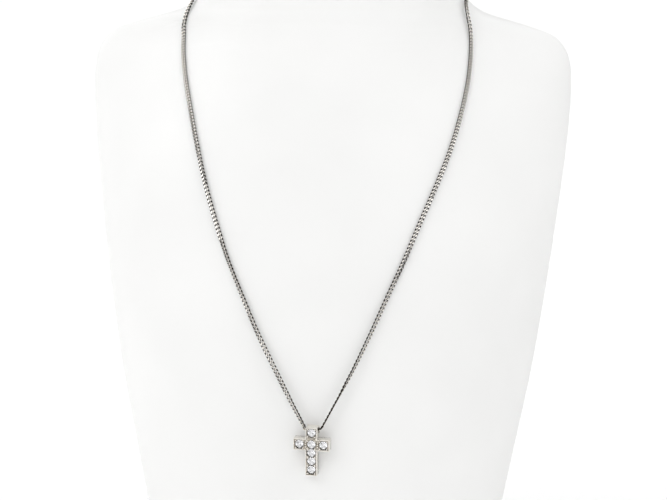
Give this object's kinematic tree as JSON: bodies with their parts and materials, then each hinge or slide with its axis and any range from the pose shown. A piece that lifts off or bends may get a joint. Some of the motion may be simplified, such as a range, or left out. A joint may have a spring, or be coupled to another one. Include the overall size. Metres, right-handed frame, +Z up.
{
  "type": "cross pendant necklace on a neck bust",
  "caption": "Small cross pendant set with round brilliants, hanging from a fine curb chain round a plain white neck bust.",
  "frame": {"origin": "middle of the whole piece's footprint, on the underside of the bust", "axes": "+Z up the neck, -Y to the front where the cross hangs, +X to the right as seen from the front"},
  "size_m": [0.1726, 0.1178, 0.248],
  "materials": {
    "white_leatherette": "matte",
    "white_gold": "polished",
    "diamond": "polished"
  },
  "bodies": {
    "display": {"neck_bust": "white_leatherette", "chain": "white_gold", "clasp": "white_gold"},
    "pendant": {"cross_setting": "white_gold", "stone_top": "diamond", "stone_left": "diamond", "stone_centre": "diamond", "stone_right": "diamond", "stone_stem_upper": "diamond", "stone_stem_middle": "diamond", "stone_stem_lower": "diamond"}
  },
  "joints": [
    {"name": "pendant_swing", "type": "hinge", "parent": "display", "child": "pendant", "pos_m": [0.00055, -0.05552, 0.0577], "axis": [-1, 0, 0], "range_deg": [0, 90]}
  ]
}
